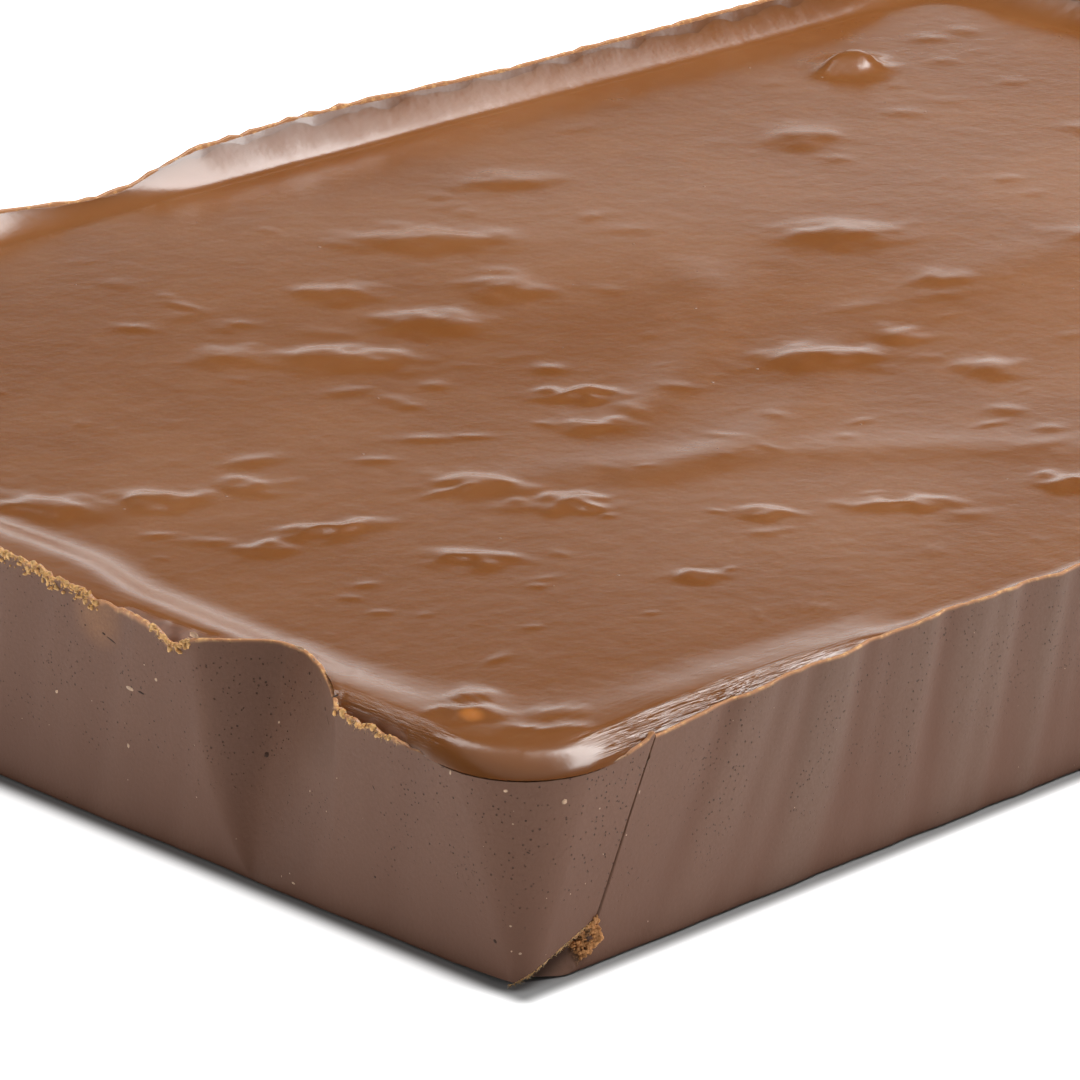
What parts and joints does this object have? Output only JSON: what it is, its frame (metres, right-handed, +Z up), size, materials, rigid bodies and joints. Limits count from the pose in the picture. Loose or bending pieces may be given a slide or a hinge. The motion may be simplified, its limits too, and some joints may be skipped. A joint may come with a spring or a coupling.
{
  "type": "fudge slab",
  "caption": "Uncut slab of milk chocolate fudge turned out of a tray: thin raised rim, shallow glossy basin, folded corners, a pressed flute and a chipped corner.",
  "frame": {"origin": "centre of the flat base, midway along the length and the width", "axes": "+X along the length, +Y along the width, +Z up from the base to the poured top"},
  "size_m": [0.3299, 0.23, 0.0331],
  "materials": {
    "fudge": "milk chocolate fudge, glossy poured top, matt moulded sides"
  },
  "bodies": {
    "root": {"fudge_slab": "fudge"}
  },
  "joints": []
}
